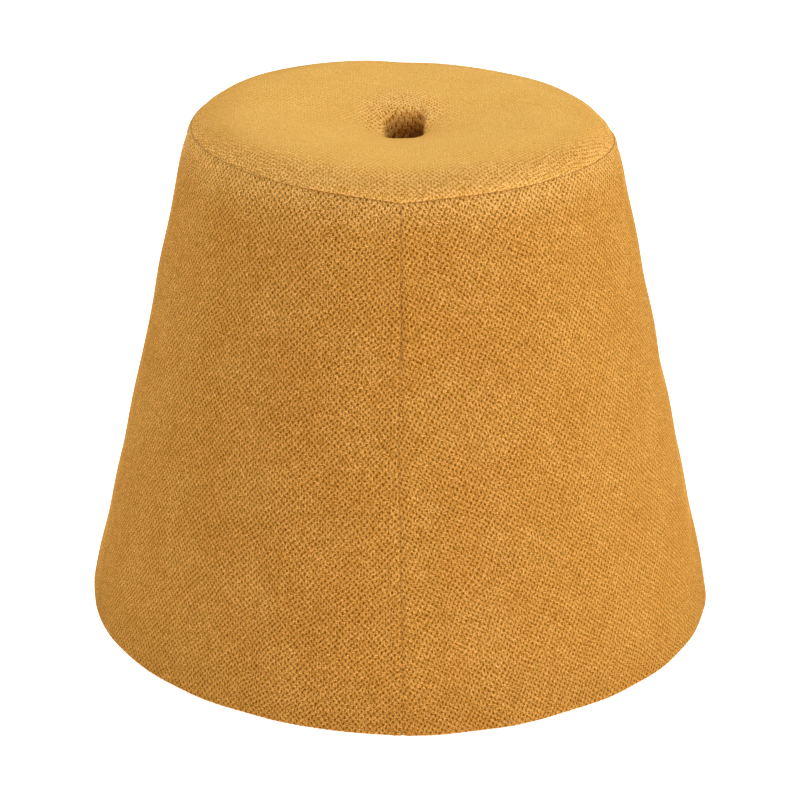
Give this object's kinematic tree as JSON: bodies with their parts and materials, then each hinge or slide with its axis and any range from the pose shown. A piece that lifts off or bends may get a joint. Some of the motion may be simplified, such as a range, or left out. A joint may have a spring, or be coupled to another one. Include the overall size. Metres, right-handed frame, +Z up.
{
  "type": "upholstered pouf",
  "caption": "Tapered round pouf seat in a chunky plain weave, with a puffed top panel pulled in to a deep central tuft and sewn side panels.",
  "frame": {"origin": "centre of the base, on the floor", "axes": "+Z up through the tuft, -Y towards the front upright seam, +X to the right of someone facing that seam"},
  "size_m": [0.5, 0.5008, 0.4016],
  "materials": {
    "top_cloth": "chunky plain weave, matt with a soft nap, ochre yellow",
    "side_cloth": "chunky plain weave, matt with a soft nap, ochre yellow",
    "base_cloth": "thin matt felt, near black"
  },
  "bodies": {
    "root": {"top_panel": "top_cloth", "side_panel_left": "side_cloth", "side_panel_right": "side_cloth", "base_panel": "base_cloth"}
  },
  "joints": []
}
